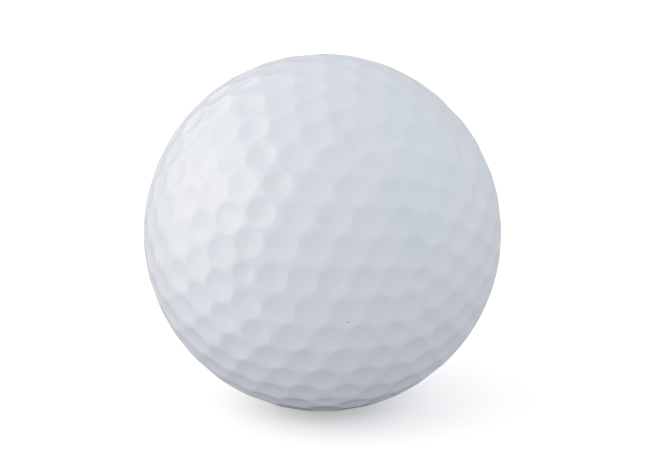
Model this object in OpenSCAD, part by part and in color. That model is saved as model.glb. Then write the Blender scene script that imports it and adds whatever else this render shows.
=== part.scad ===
// Golf ball: a layered ball whose outer layers are moulded as half shells.
// Origin at the ball's centre, +Z up. The seam between the two halves is the upright plane y = 0,
// and the poles of the dimple pattern lie on the Y axis: the front pole at -Y, the back pole at +Y.

/* [Layers] */
// Diameter of the finished ball, which is the smallest that the rules of golf allow
ball_d = 42.67; // [42.67:0.01:43.5]
// Diameter of the inner core
inner_core_d = 25; // [20:0.5:30]
// Thickness of the mantle between the core and the cover
mantle_t = 0.85; // [0.6:0.05:1.5]
// Thickness of the cover over the lands between the dimples
cover_t = 0.8; // [0.6:0.05:1.2]

/* [Dimples] */
// Depth of each dimple below the ball's round surface
dimple_depth = 0.24; // [0.15:0.01:0.35]
// Narrowest land left between two dimples, and along the seam
land_w = 0.15; // [0.08:0.01:0.4]
// Diameter of the small dimples that five others surround
small_dimple_d = 2.7; // [2.5:0.1:3.1]
// Turn of the front half's dimples about its pole, in degrees
front_turn = 32.7; // [0:0.1:72]
// Turn of the back half's dimples beyond the front half's, in degrees
back_offset = 30; // [0:1:71]

/* [Rows] */
// Angle from the pole to the first row, in degrees
first_row_angle = 9.1; // [9:0.1:10]
// Angle from the pole to the row that holds the outer small dimples, in degrees
corner_row_angle = 57.6; // [57:0.1:59]
// Angle from the pole to the row beside the seam, in degrees
last_row_angle = 84.1; // [83.5:0.1:85]
// How far the middle rows bow towards the pole between two meridians of small dimples, in degrees
row_sag = 3.9; // [3:0.1:4.5]

/* [Hidden] */

// The pattern repeats five times around each pole.
sectors = 5;
// Row whose corners hold the outer small dimples; rows grow by one dimple a sector up to it.
corner_row = 6;
// Row beside the seam; rows past the corner row keep its count, and each is half a step round.
last_row = 9;

ball_r = ball_d / 2;
mantle_r = ball_r - cover_t;
outer_core_r = mantle_r - mantle_t;
inner_core_r = inner_core_d / 2;
sphere_fn = 160;
cap_fn = 200;
dimple_fn = 48;
// How far a dimple's cutter reaches past the dimple's rim
plug_margin = land_w / 4;

// Number of dimples in a row
function row_count(row) = sectors * min(row, corner_row);

// Azimuth of one dimple of a row
function azimuth(row, i) = 360 / row_count(row) * (i + max(row - corner_row, 0) / 2);

// Angle from the pole to a row, where it crosses a meridian of small dimples
function row_angle(row) =
    row == 1 ? first_row_angle :
    row <= corner_row ? corner_row_angle * row / corner_row :
    corner_row_angle
        + (last_row_angle - corner_row_angle) * (row - corner_row) / (last_row - corner_row);

// Share of the bow that a row takes: most halfway to the corner row, and none past it
function sag_share(row) = row > corner_row ? 0 : sin(180 * row / (corner_row + 1));

// Angle from the pole to one dimple
function polar(row, i) =
    row_angle(row)
        - row_sag * sag_share(row) * (1 - cos(sectors * azimuth(row, i))) / 2;

// Small dimples sit at the corners of the corner row, besides the one at the pole
function is_small(row, i) = row == corner_row && i % corner_row == 0;

// Dimple records [polar angle, azimuth, small or not]
POLE_DIMPLE = [0, 0, true];
ROW_DIMPLES = [
    for (row = [1 : last_row])
        for (i = [0 : row_count(row) - 1])
            [polar(row, i), azimuth(row, i), is_small(row, i)]
];
DIMPLES = concat([POLE_DIMPLE], ROW_DIMPLES);

// Direction from the ball's centre to a dimple, with the pole on +Z
function direction(d) = [sin(d[0]) * cos(d[1]), sin(d[0]) * sin(d[1]), cos(d[0])];
DIRECTIONS = [for (d = DIMPLES) direction(d)];

// Widest this dimple may be beside that one, the two meeting at a land
function width_beside(d, gap, other) = other[2] && !d[2]
    ? 2 * (gap - land_w) - small_dimple_d
    : gap - land_w;

// Widest this dimple may be beside the seam
function width_at_seam(d) = 2 * ball_r * cos(d[0]) - land_w;

// Diameter of dimple n: fixed if it is small, else as wide as its neighbours and the seam allow
function dimple_width(n) = DIMPLES[n][2] ? small_dimple_d : min(
    width_at_seam(DIMPLES[n]),
    min([for (m = [0 : len(DIMPLES) - 1]) if (m != n)
        width_beside(DIMPLES[n], ball_r * norm(DIRECTIONS[m] - DIRECTIONS[n]), DIMPLES[m])]));

// Half of a round layer, on the +Z side of the seam
module half_shell(outer_r, inner_r) {
    difference() {
        intersection() {
            sphere(r = outer_r, $fn = sphere_fn);
            translate([-outer_r, -outer_r, 0])
                cube([2 * outer_r, 2 * outer_r, outer_r]);
        }
        sphere(r = inner_r, $fn = sphere_fn);
    }
}

// Round-bottomed plug that cuts one dimple: a shallow cap of the given width and the common depth.
// It is only a little wider and taller than its dimple, so it stays clear of its neighbours.
module dimple_cutter(d, width) {
    rim_distance = sqrt(pow(ball_r, 2) - pow(width / 2, 2));
    cap_depth = rim_distance - (ball_r - dimple_depth);
    cap_r = (pow(width / 2, 2) + pow(cap_depth, 2)) / (2 * cap_depth);
    rotate([0, d[0], d[1]])
        translate([0, 0, ball_r - dimple_depth])
            intersection() {
                translate([0, 0, cap_r])
                    sphere(r = cap_r, $fn = cap_fn);
                cylinder(r = width / 2 + plug_margin, h = dimple_depth + plug_margin, $fn = dimple_fn);
            }
}

// Half of the cover with its dimples, on the +Z side of the seam
module cover_half() {
    difference() {
        half_shell(ball_r, mantle_r);
        for (n = [0 : len(DIMPLES) - 1])
            dimple_cutter(DIMPLES[n], dimple_width(n));
    }
}

// Lays a half's pole from +Z onto -Y, with the half turned about its pole
module front(turn) {
    rotate([90, 0, 0])
        rotate([0, 0, turn])
            children();
}

// Lays a half's pole from +Z onto +Y, so that the same turn carries it the other way round
module back(turn) {
    rotate([-90, 0, 0])
        rotate([0, 0, -turn])
            children();
}

module inner_core() {
    color("darkorange")
        sphere(r = inner_core_r, $fn = sphere_fn);
}

module outer_core_front() {
    color("peru")
        front(0)
            half_shell(outer_core_r, inner_core_r);
}

module outer_core_back() {
    color("peru")
        back(0)
            half_shell(outer_core_r, inner_core_r);
}

module mantle_front() {
    color("lightsteelblue")
        front(0)
            half_shell(mantle_r, outer_core_r);
}

module mantle_back() {
    color("lightsteelblue")
        back(0)
            half_shell(mantle_r, outer_core_r);
}

module cover_front() {
    color("white")
        front(front_turn)
            cover_half();
}

module cover_back() {
    color("white")
        back(front_turn + back_offset)
            cover_half();
}

inner_core();
outer_core_front();
outer_core_back();
mantle_front();
mantle_back();
cover_front();
cover_back();
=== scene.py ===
import math

import bmesh
import bpy
import numpy as np
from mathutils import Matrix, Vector


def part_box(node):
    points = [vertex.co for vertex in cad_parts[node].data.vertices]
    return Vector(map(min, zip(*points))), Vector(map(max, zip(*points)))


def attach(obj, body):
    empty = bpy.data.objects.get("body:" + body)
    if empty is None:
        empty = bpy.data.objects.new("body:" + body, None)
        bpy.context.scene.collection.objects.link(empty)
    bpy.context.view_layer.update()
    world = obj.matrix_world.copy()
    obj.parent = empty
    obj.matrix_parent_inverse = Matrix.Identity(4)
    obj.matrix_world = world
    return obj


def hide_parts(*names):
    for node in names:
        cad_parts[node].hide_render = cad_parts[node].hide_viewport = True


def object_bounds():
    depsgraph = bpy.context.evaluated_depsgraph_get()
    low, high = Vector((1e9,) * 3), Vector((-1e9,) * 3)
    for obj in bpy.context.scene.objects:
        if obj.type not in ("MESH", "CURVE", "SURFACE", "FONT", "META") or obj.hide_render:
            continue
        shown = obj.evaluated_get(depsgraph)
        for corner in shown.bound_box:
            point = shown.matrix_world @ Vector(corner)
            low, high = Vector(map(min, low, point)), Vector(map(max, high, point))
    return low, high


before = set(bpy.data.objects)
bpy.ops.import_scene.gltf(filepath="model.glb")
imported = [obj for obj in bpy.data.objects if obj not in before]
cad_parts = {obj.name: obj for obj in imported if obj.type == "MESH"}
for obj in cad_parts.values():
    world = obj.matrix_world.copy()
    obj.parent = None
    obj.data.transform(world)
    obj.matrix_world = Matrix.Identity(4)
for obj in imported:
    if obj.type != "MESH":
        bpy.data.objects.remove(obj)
cad_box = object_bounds()

# ---- The dimple pattern, in degrees and metres, as in the CAD model ----------------------------

MM = 0.001
DEPTH = 0.24 * MM            # depth of each dimple below the ball's round surface
LAND = 0.15 * MM             # narrowest land between two dimples, and along the seam
SMALL = 2.7 * MM             # diameter of the small dimples that five others surround
FRONT_TURN = 32.7            # turn of the front half's dimples about its pole
BACK_TURN = FRONT_TURN + 30  # the same for the back half
SECTORS = 5                  # the pattern repeats this many times around a pole
CORNER_ROW = 6               # row that holds the outer small dimples
LAST_ROW = 9                 # row beside the seam
FIRST_ANGLE = 9.1            # polar angle of the first row
CORNER_ANGLE = 57.6          # polar angle of the corner row
LAST_ANGLE = 84.1            # polar angle of the last row
SAG = 3.9                    # how far the middle rows bow towards the pole

BALL_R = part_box("cover_front")[1].x
MANTLE_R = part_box("mantle_front")[1].x


def row_dimples(row):
    """Polar angle, azimuth and smallness of each dimple of one row, in degrees."""
    count = SECTORS * min(row, CORNER_ROW)
    if row == 1:
        angle = FIRST_ANGLE
    elif row <= CORNER_ROW:
        angle = CORNER_ANGLE * row / CORNER_ROW
    else:
        share = (row - CORNER_ROW) / (LAST_ROW - CORNER_ROW)
        angle = CORNER_ANGLE + (LAST_ANGLE - CORNER_ANGLE) * share
    sag = SAG * math.sin(math.pi * row / (CORNER_ROW + 1)) if row <= CORNER_ROW else 0
    for i in range(count):
        azimuth = 360 / count * (i + max(row - CORNER_ROW, 0) / 2)
        bow = (1 - math.cos(math.radians(SECTORS * azimuth))) / 2
        yield angle - sag * bow, azimuth, row == CORNER_ROW and i % CORNER_ROW == 0


def half_dimples():
    """Unit directions (pole on +Z) and diameters of one half's dimples."""
    rows = [(0.0, 0.0, True)]
    for row in range(1, LAST_ROW + 1):
        rows += row_dimples(row)
    polar = np.radians([r[0] for r in rows])
    azimuth = np.radians([r[1] for r in rows])
    small = np.array([r[2] for r in rows])
    out = np.sin(polar)
    directions = np.stack([out * np.cos(azimuth), out * np.sin(azimuth), np.cos(polar)], 1)
    gap = BALL_R * np.linalg.norm(directions[:, None] - directions[None], axis=2)
    np.fill_diagonal(gap, 3 * BALL_R)  # no dimple is its own neighbour
    allowed = np.where(small[None], 2 * (gap - LAND) - SMALL, gap - LAND).min(1)
    at_seam = 2 * BALL_R * np.cos(polar) - LAND
    return directions, np.where(small, SMALL, np.minimum(allowed, at_seam))


def turned(points, turn, front):
    """Points with the pole on +Z, turned about it and laid down with the pole on -Y or +Y."""
    angle = math.radians(turn if front else -turn)
    c = math.cos(angle)
    s = math.sin(angle)
    x, y, z = points.T
    x, y = c * x - s * y, s * x + c * y
    return np.stack([x, -z, y] if front else [x, z, -y], 1)


HALF_DIRECTIONS, HALF_WIDTHS = half_dimples()
DIRECTIONS = np.concatenate([turned(HALF_DIRECTIONS, FRONT_TURN, True),
                             turned(HALF_DIRECTIONS, BACK_TURN, False)])
WIDTHS = np.tile(HALF_WIDTHS, 2)


# ---- The cover's dimpled surface ----------------------------------------------------------------

ROUNDING = 0.03 * MM    # how softly a dimple's wall turns into the land
EXPONENT_LIMIT = 60     # past this many roundings, one surface alone counts
NEIGHBOURS = 4          # dimples near enough to shape one point
BATCHES = 40            # shares of the points that are searched at once
SLOPE_STEP = 0.0005     # step for the surface's slope, in ball radii
OUTER_SPACING = 0.0094  # between the points of the dimpled outside, in ball radii
INNER_SPACING = 0.045   # between those of the smooth inside
RING_SHARE = 0.87       # the rings' spacing over that of the points in a ring


def cap_distance(cos_angle, width):
    """Distance from the ball's centre to a dimple's round bottom, along a direction that makes
    that angle with the dimple's own."""
    rim = np.sqrt(BALL_R ** 2 - width ** 2 / 4)
    sink = rim - (BALL_R - DEPTH)
    radius = (width ** 2 / 4 + sink ** 2) / (2 * sink)
    centre = BALL_R - DEPTH + radius
    inside = radius ** 2 - centre ** 2 * (1 - cos_angle ** 2)
    near = centre * cos_angle - np.sqrt(np.maximum(inside, 0))
    return np.where(inside > 0, near, 2 * BALL_R)


def surface_radius(units, nearest):
    """Radius of the dimpled surface along unit directions: the lowest of the round ball and the
    nearest dimples' bottoms, with the edges between them rounded."""
    total = np.ones(len(units))
    for column in nearest.T:
        cos_angle = np.einsum("ij,ij->i", units, DIRECTIONS[column])
        below = BALL_R - cap_distance(cos_angle, WIDTHS[column])
        total += np.exp(np.clip(below / ROUNDING, -EXPONENT_LIMIT, EXPONENT_LIMIT))
    return BALL_R - ROUNDING * np.log(total)


def dimpled(units):
    """Points of the dimpled surface along unit directions, and the surface's normals there."""
    nearest = np.concatenate([
        np.argpartition(-(batch @ DIRECTIONS.T), NEIGHBOURS, axis=1)[:, :NEIGHBOURS]
        for batch in np.array_split(units, BATCHES)])
    near_z = np.abs(units[:, 2:3]) > 0.9
    side = np.cross(units, np.where(near_z, [[1.0, 0.0, 0.0]], [[0.0, 0.0, 1.0]]))
    side /= np.linalg.norm(side, axis=1)[:, None]
    slopes = []
    for tangent in (side, np.cross(units, side)):
        ends = []
        for sign in (1, -1):
            moved = units + sign * SLOPE_STEP * tangent
            moved /= np.linalg.norm(moved, axis=1)[:, None]
            ends.append(moved * surface_radius(moved, nearest)[:, None])
        slopes.append(ends[0] - ends[1])
    normals = np.cross(slopes[0], slopes[1])
    normals *= np.sign(np.einsum("ij,ij->i", normals, units))[:, None]
    normals /= np.linalg.norm(normals, axis=1)[:, None]
    return units * surface_radius(units, nearest)[:, None], normals


def ring_shift(ring):
    """How far round a ring's first point is, in steps between its points."""
    return 0.5 * (ring % 2)


def hemisphere(spacing):
    """An even grid of triangles over a unit hemisphere, pole on +Z: points, triangles, and the
    index of the rim's first point and the number of points from there."""
    rings = round(math.pi / 2 / (spacing * RING_SHARE))
    points = [(0.0, 0.0, 1.0)]
    starts = [0]
    counts = [1]
    for ring in range(1, rings + 1):
        polar = math.pi / 2 * ring / rings
        count = max(6, round(2 * math.pi * math.sin(polar) / spacing))
        starts.append(len(points))
        counts.append(count)
        for i in range(count):
            azimuth = 2 * math.pi * (i + ring_shift(ring)) / count
            out = math.sin(polar)
            points.append((out * math.cos(azimuth), out * math.sin(azimuth), math.cos(polar)))
    triangles = [(0, 1 + i, 1 + (i + 1) % counts[1]) for i in range(counts[1])]
    for ring in range(1, rings):
        triangles += ring_strip(starts[ring], counts[ring], ring_shift(ring),
                                starts[ring + 1], counts[ring + 1], ring_shift(ring + 1))
    return np.array(points), triangles, starts[rings], counts[rings]


def ring_strip(inner, inner_count, inner_shift, outer, outer_count, outer_shift):
    """Triangles between two rings of points, each given by its first index, count and shift."""
    triangles = []
    i = 0
    j = 0
    while i < inner_count or j < outer_count:
        next_inner = (i + 1 + inner_shift) / inner_count
        next_outer = (j + 1 + outer_shift) / outer_count
        a = inner + i % inner_count
        b = outer + j % outer_count
        if j < outer_count and (i == inner_count or next_outer <= next_inner):
            triangles.append((a, b, outer + (j + 1) % outer_count))
            j += 1
        else:
            triangles.append((a, b, inner + (i + 1) % inner_count))
            i += 1
    return triangles


def cover_half(name, turn, front):
    """Half of the cover: dimpled outside, smooth inside, closed along the seam."""
    outer, outer_triangles, outer_rim, outer_count = hemisphere(OUTER_SPACING)
    inner, inner_triangles, inner_rim, inner_count = hemisphere(INNER_SPACING)
    outside, outside_normals = dimpled(turned(outer, turn, front))
    inside = turned(inner, turn, front)
    offset = len(outside)
    seam = ring_strip(inner_rim + offset, inner_count, 0, outer_rim, outer_count, 0)
    triangles = [(c, b, a) for a, b, c in seam]
    triangles += outer_triangles
    triangles += [(c + offset, b + offset, a + offset) for a, b, c in inner_triangles]
    mesh = bpy.data.meshes.new(name)
    mesh.from_pydata(np.concatenate([outside, inside * MANTLE_R]).tolist(), [], triangles)
    mesh.update()
    mesh.shade_smooth()
    mesh.polygons.foreach_set("use_smooth", np.arange(len(triangles)) >= len(seam))
    corner_points = np.zeros(len(mesh.loops), np.int32)
    mesh.loops.foreach_get("vertex_index", corner_points)
    corner_normals = np.concatenate([outside_normals, -inside])[corner_points]
    corner_normals[:3 * len(seam)] = (0, 1, 0) if front else (0, -1, 0)
    mesh.normals_split_custom_set(corner_normals.tolist())
    return linked(name, mesh)


def linked(name, data):
    """A new object in the scene."""
    piece = bpy.data.objects.new(name, data)
    bpy.context.scene.collection.objects.link(piece)
    return piece


# ---- Materials ----------------------------------------------------------------------------------

def adder(tree):
    """A function that adds one node to a node tree, with its inputs and settings."""
    def add(kind, inputs=None, **settings):
        node = tree.nodes.new(kind)
        for key, value in settings.items():
            setattr(node, key, value)
        for key, value in (inputs or {}).items():
            if isinstance(value, bpy.types.NodeSocket):
                tree.links.new(value, node.inputs[key])
            else:
                node.inputs[key].default_value = value
        return node

    return add


def new_material(name):
    """A node material, its shader's inputs, its links and a function that adds a node."""
    material = bpy.data.materials.new(name)
    material.use_nodes = True
    tree = material.node_tree
    return material, tree.nodes["Principled BSDF"].inputs, tree.links, adder(tree)


def noise(add, place, scale, detail, roughness=0.5):
    """Cloudy noise, mostly between 0.3 and 0.7."""
    node = add("ShaderNodeTexNoise", {"Vector": place, "Scale": scale, "Detail": detail,
                                      "Roughness": roughness})
    return node.outputs["Fac"]


def mapped(add, value, start, end, low, high):
    """The value's run from start to end, mapped onto low to high and held there."""
    node = add("ShaderNodeMapRange", {"Value": value, "From Min": start, "From Max": end,
                                      "To Min": low, "To Max": high})
    return node.outputs["Result"]


def toned(add, value, stops):
    """A colour that follows the value through stops, each a position and a tone."""
    node = add("ShaderNodeValToRGB", {"Fac": value})
    elements = node.color_ramp.elements
    for stop in stops[1:-1]:
        elements.new(stop[0])
    elements[-1].position = stops[-1][0]
    elements[0].position = stops[0][0]
    for element, (position, tone) in zip(elements, stops):
        element.color = (*tone, 1)
    return node.outputs["Color"]


def bumped(add, height, strength, distance):
    """A normal that follows the height."""
    node = add("ShaderNodeBump", {"Height": height, "Strength": strength, "Distance": distance})
    return node.outputs["Normal"]


MIX_A = 6       # a Mix node's colour sockets, which share their names with its others
MIX_B = 7
MIX_RESULT = 2

DUST_CELLS = 260.0      # cells a metre, each with room for one speck
DUST_CORE = 0.028       # radius of a speck's dark middle, in cells
DUST_EDGE = 0.045       # radius where the speck ends
DUST_EMPTY = 0.75       # share of the cells that have no speck


def dust(add, place):
    """1 inside rare tiny specks, 0 elsewhere."""
    cells = add("ShaderNodeTexVoronoi", {"Vector": place, "Scale": DUST_CELLS, "Randomness": 1.0})
    near = mapped(add, cells.outputs["Distance"], DUST_CORE, DUST_EDGE, 1.0, 0.0)
    chance = add("ShaderNodeSeparateColor", {"Color": cells.outputs["Color"]}).outputs["Red"]
    rare = add("ShaderNodeMath", {0: chance, 1: DUST_EMPTY}, operation="GREATER_THAN")
    speck = add("ShaderNodeMath", {0: near, 1: rare.outputs["Value"]}, operation="MULTIPLY")
    return speck.outputs["Value"]


def paint_material():
    """White paint under a glossy clear coat: faint mottling, tiny specks of dust, orange peel."""
    material, shader, links, add = new_material("cover_paint")
    place = add("ShaderNodeTexCoord").outputs["Object"]
    mottle = toned(add, noise(add, place, 260.0, 4.0, 0.6),
                   [(0.3, (0.775, 0.795, 0.835)), (0.7, (0.815, 0.83, 0.865))])
    dusty = add("ShaderNodeMix", {"Factor": dust(add, place), MIX_A: mottle,
                                  MIX_B: (0.42, 0.41, 0.40, 1)}, data_type="RGBA")
    links.new(dusty.outputs[MIX_RESULT], shader["Base Color"])
    gloss = noise(add, place, 420.0, 3.0, 0.55)
    links.new(mapped(add, gloss, 0.3, 0.7, 0.42, 0.52), shader["Roughness"])
    peel = noise(add, place, 1500.0, 2.0)
    links.new(bumped(add, peel, 0.08, 0.02 * MM), shader["Normal"])
    shader["Specular IOR Level"].default_value = 0.4
    shader["Coat Weight"].default_value = 0.8
    shader["Coat Roughness"].default_value = 0.07
    return material


def moulded_material(name, dark, light, scale, roughness, bump_mm):
    """A moulded inner layer: two-tone grain with a matching bump and uneven gloss."""
    material, shader, links, add = new_material(name)
    place = add("ShaderNodeTexCoord").outputs["Object"]
    grain = noise(add, place, scale, 6.0, 0.65)
    links.new(toned(add, grain, [(0.35, dark), (0.65, light)]), shader["Base Color"])
    gloss = mapped(add, grain, 0.3, 0.7, roughness - 0.08, roughness + 0.08)
    links.new(gloss, shader["Roughness"])
    links.new(bumped(add, grain, 0.5, bump_mm * MM), shader["Normal"])
    return material


def set_material(piece, material):
    piece.data.materials.clear()
    piece.data.materials.append(material)


# ---- The pieces ---------------------------------------------------------------------------------

paint = paint_material()
for half, turn, is_front in (("front", FRONT_TURN, True), ("back", BACK_TURN, False)):
    cover = cover_half("cover_skin_" + half, turn, is_front)
    set_material(cover, paint)
    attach(cover, "root")
    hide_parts("cover_" + half)

core_rubber = moulded_material("inner_core_rubber", (0.62, 0.20, 0.03), (0.74, 0.27, 0.05),
                               scale=900, roughness=0.6, bump_mm=0.02)
shell_rubber = moulded_material("outer_core_rubber", (0.44, 0.25, 0.10), (0.56, 0.34, 0.15),
                                scale=700, roughness=0.55, bump_mm=0.02)
resin = moulded_material("mantle_resin", (0.50, 0.56, 0.65), (0.60, 0.66, 0.74),
                         scale=350, roughness=0.35, bump_mm=0.01)
set_material(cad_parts["inner_core"], core_rubber)
for half in ("front", "back"):
    set_material(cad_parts["outer_core_" + half], shell_rubber)
    set_material(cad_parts["mantle_" + half], resin)


# ---- Floor --------------------------------------------------------------------------------------

FLOOR_R = 6.0            # wide enough to fill the picture
FLOOR_Z = cad_box[0].z
FLOOR_GLOW = 0.35        # light of its own, which keeps the floor near white
SHADE_DROP = 0.3 * MM    # how far the grey disc lies below the floor
SHADE_FULL = 0.35        # where the disc starts to fade, in ball radii
SHADE_END = 0.9          # where it ends


def disc(name, radius, height):
    """A flat disc around the Z axis."""
    mesh = bpy.data.meshes.new(name)
    grid = bmesh.new()
    bmesh.ops.create_circle(grid, cap_ends=True, radius=radius, segments=96)
    grid.to_mesh(mesh)
    grid.free()
    piece = linked(name, mesh)
    piece.location.z = height
    return piece


def make_floor():
    """A plain pale floor that only the camera sees, so that the studio alone lights the ball."""
    floor = disc("floor", FLOOR_R, FLOOR_Z)
    material, shader, links, add = new_material("pale_floor")
    place = add("ShaderNodeTexCoord").outputs["Object"]
    cloud = noise(add, place, 3.0, 3.0)
    links.new(toned(add, cloud, [(0.0, (0.93, 0.91, 0.88)), (1.0, (0.95, 0.93, 0.90))]),
              shader["Base Color"])
    shader["Roughness"].default_value = 0.9
    shader["Emission Color"].default_value = (1, 1, 1, 1)
    shader["Emission Strength"].default_value = FLOOR_GLOW
    set_material(floor, material)
    floor.visible_diffuse = False
    floor.visible_glossy = False
    floor.visible_shadow = False


def make_shade():
    """A grey disc under the floor that only the ball sees: the floor's own shade beneath it."""
    shade = disc("floor_shade", SHADE_END * BALL_R, FLOOR_Z - SHADE_DROP)
    material, shader, links, add = new_material("floor_shade")
    place = add("ShaderNodeTexCoord").outputs["Object"]
    cloud = noise(add, place, 40.0, 2.0)
    links.new(toned(add, cloud, [(0.0, (0.42, 0.44, 0.48)), (1.0, (0.48, 0.50, 0.54))]),
              shader["Base Color"])
    out = add("ShaderNodeVectorMath", {0: place}, operation="LENGTH").outputs["Value"]
    fade = mapped(add, out, SHADE_FULL * BALL_R, SHADE_END * BALL_R, 1.0, 0.0)
    links.new(fade, shader["Alpha"])
    shader["Roughness"].default_value = 0.9
    set_material(shade, material)
    shade.visible_camera = False


# ---- Camera and light ---------------------------------------------------------------------------

CAMERA_AZIMUTH = -32.3
CAMERA_ELEVATION = 17.2
CAMERA_DISTANCE = 22.5 * BALL_R
BALL_SHARE = 0.5547      # the ball's diameter over the picture's width
LIGHT_DISTANCE = 1.0     # from the ball's centre to each softbox
BRIGHT_ELEVATION = 72    # height of the studio's brightest side, over the camera

# The studio's tones, from its darkest side (0) to its brightest (1)
STUDIO_TONES = [(0.0, (0.22, 0.24, 0.27)),
                (0.125, (0.46, 0.47, 0.52)),
                (0.25, (0.59, 0.61, 0.63)),
                (1.0, (0.74, 0.78, 0.84))]


def direction(azimuth, elevation):
    """Unit vector towards a place seen at that azimuth (0 is -Y, 90 is +X) and elevation."""
    a = math.radians(azimuth)
    e = math.radians(elevation)
    return Vector((math.sin(a) * math.cos(e), -math.cos(a) * math.cos(e), math.sin(e)))


def aim(piece, azimuth, elevation, distance):
    """Places an object at that distance from the ball's centre and faces it."""
    towards = direction(azimuth, elevation)
    piece.location = towards * distance
    piece.rotation_euler = towards.to_track_quat("Z", "Y").to_euler()


def make_camera():
    """A long lens, so that the ball's outline takes up its share of the picture's width."""
    data = bpy.data.cameras.new("camera")
    data.sensor_width = 36
    outline = BALL_R / math.sqrt(CAMERA_DISTANCE ** 2 - BALL_R ** 2)
    data.lens = BALL_SHARE / 2 * data.sensor_width / outline
    camera = linked("camera", data)
    aim(camera, CAMERA_AZIMUTH, CAMERA_ELEVATION, CAMERA_DISTANCE)
    bpy.context.scene.camera = camera


def soft_light(name, azimuth, elevation, size, watts, colour):
    """A square softbox that faces the ball; its azimuth is measured from the camera's."""
    data = bpy.data.lights.new(name, "AREA")
    data.shape = "SQUARE"
    data.size = size
    data.energy = watts
    data.color = colour
    light = linked(name, data)
    aim(light, CAMERA_AZIMUTH + azimuth, elevation, LIGHT_DISTANCE)
    light.visible_camera = False


def make_world():
    """A pale studio that is darkest below and behind the ball and brightest above it."""
    world = bpy.data.worlds.new("studio")
    world.use_nodes = True
    tree = world.node_tree
    add = adder(tree)
    place = add("ShaderNodeTexCoord").outputs["Generated"]
    bright = direction(CAMERA_AZIMUTH, BRIGHT_ELEVATION)
    height = add("ShaderNodeVectorMath", {0: place, 1: bright}, operation="DOT_PRODUCT")
    share = mapped(add, height.outputs["Value"], -1, 1, 0, 1)
    tree.links.new(toned(add, share, STUDIO_TONES), tree.nodes["Background"].inputs["Color"])
    bpy.context.scene.world = world


make_floor()
make_shade()
make_camera()
make_world()
soft_light("key_low", -85, 5, 1.0, 1.4, (1, 0.9, 0.8))
soft_light("key_high", -105, 30, 0.9, 1.4, (1, 0.9, 0.8))
soft_light("key_front", -65, 30, 0.7, 1.4, (1, 0.9, 0.7))
soft_light("fill", 100, 30, 1.3, 1.0, (1, 1, 0.9))
soft_light("low", -90, -25, 1.0, 0.7, (0.75, 0.8, 1))
soft_light("rim", -147, 20, 0.35, 0.22, (0.85, 0.93, 1))
bpy.context.scene.view_settings.view_transform = "Standard"
